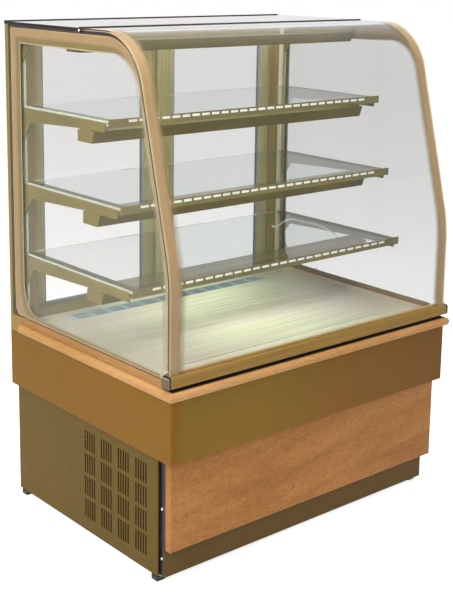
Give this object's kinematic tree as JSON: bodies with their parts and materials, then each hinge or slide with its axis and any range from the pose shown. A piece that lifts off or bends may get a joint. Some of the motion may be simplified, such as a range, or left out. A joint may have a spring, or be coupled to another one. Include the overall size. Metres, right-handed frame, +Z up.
{
  "type": "pastry display case",
  "caption": "Refrigerated pastry case: painted base with oak trims, bent front pane, glass sides and top, shelves with lamps, and sliding rear doors.",
  "frame": {"origin": "centre of the footprint on the floor", "axes": "+X to the customer's right, +Y from the customer side to the staff side, +Z up"},
  "size_m": [0.972, 0.715, 1.292],
  "materials": {
    "gold_paint": "satin",
    "gold_anodised": "satin",
    "frame_anodised": "satin",
    "shelf_paint": "satin",
    "oak_veneer": "satin",
    "oak_trim": "satin",
    "black_plastic": "matte",
    "black_steel": "satin",
    "black_aluminium": "satin",
    "galvanised_steel": "satin",
    "stainless_steel": "brushed",
    "clear_glass": "gloss",
    "black_rubber": "matte",
    "foam": "matte",
    "lamp_diffuser": "gloss",
    "white_plastic": "matte",
    "grey_plastic": "matte",
    "coil_aluminium": "satin",
    "copper": "gloss",
    "compressor_black": "satin",
    "motor_grey": "satin"
  },
  "bodies": {
    "cabinet": {"feet": "black_plastic", "base_tray": "galvanised_steel", "side_panel_left": "gold_paint", "side_panel_right": "gold_paint", "rear_panel": "gold_paint", "kick_plate": "gold_paint", "oak_panel": "oak_veneer", "front_uprights": "black_steel", "belt_casing": "gold_paint", "tub_insulation": "foam", "tub_liner": "stainless_steel", "deck_plate": "stainless_steel", "front_air_grille": "stainless_steel", "rear_air_grille": "stainless_steel", "trim_sides": "oak_trim", "trim_front": "oak_trim", "side_sills": "oak_trim", "rear_corner_blocks": "gold_anodised", "hinge_rail": "black_aluminium", "side_glass_left": "clear_glass", "side_glass_right": "clear_glass", "side_seals": "black_rubber", "top_glass": "clear_glass", "rear_posts": "frame_anodised", "rear_bottom_rail": "frame_anodised", "rear_top_rail": "frame_anodised", "shelf_uprights": "frame_anodised", "shelf_brackets_left": "shelf_paint", "shelf_brackets_right": "shelf_paint", "shelf_1_glass": "clear_glass", "shelf_2_glass": "clear_glass", "shelf_3_glass": "clear_glass", "shelf_1_rail": "shelf_paint", "shelf_2_rail": "shelf_paint", "shelf_3_rail": "shelf_paint", "lamp_housings": "shelf_paint", "lamp_tubes": "lamp_diffuser", "lamp_lead": "white_plastic", "compressor": "compressor_black", "condenser_coil": "coil_aluminium", "condenser_shroud": "galvanised_steel", "fan_motors": "motor_grey", "evaporator_coil": "coil_aluminium", "evaporator_shroud": "stainless_steel", "refrigerant_pipes": "copper", "control_panel": "grey_plastic", "switch_housing": "black_plastic", "power_gland": "black_plastic"},
    "front_pane": {"front_glass": "clear_glass", "front_profile": "gold_anodised", "profile_caps": "black_plastic"},
    "left_door": {"door_left_frame": "frame_anodised", "door_left_glass": "clear_glass", "door_left_glides": "white_plastic"},
    "right_door": {"door_right_frame": "frame_anodised", "door_right_glass": "clear_glass", "door_right_glides": "white_plastic"},
    "condenser_fan": {"condenser_fan": "grey_plastic"},
    "evaporator_fan": {"evaporator_fan": "grey_plastic"},
    "light_switch": {"light_switch": "black_plastic"}
  },
  "joints": [
    {"name": "front_pane_tilt", "type": "hinge", "parent": "cabinet", "child": "front_pane", "pos_m": [0, -0.3375, 0.515], "axis": [1, 0, 0], "range_deg": [0, 45]},
    {"name": "left_door_slide", "type": "slide", "parent": "cabinet", "child": "left_door", "axis": [1, 0, 0], "range_m": [0, 0.41]},
    {"name": "right_door_slide", "type": "slide", "parent": "cabinet", "child": "right_door", "axis": [-1, 0, 0], "range_m": [0, 0.41]},
    {"name": "condenser_fan_spin", "type": "hinge", "parent": "cabinet", "child": "condenser_fan", "pos_m": [-0.376, -0.11, 0.17], "axis": [1, 0, 0], "continuous": true},
    {"name": "evaporator_fan_spin", "type": "hinge", "parent": "cabinet", "child": "evaporator_fan", "pos_m": [0, -0.0795, 0.426], "axis": [0, 1, 0], "continuous": true},
    {"name": "light_switch_rock", "type": "hinge", "parent": "cabinet", "child": "light_switch", "pos_m": [0.37, 0.34, 0.262], "axis": [1, 0, 0], "range_deg": [0, 14]}
  ]
}
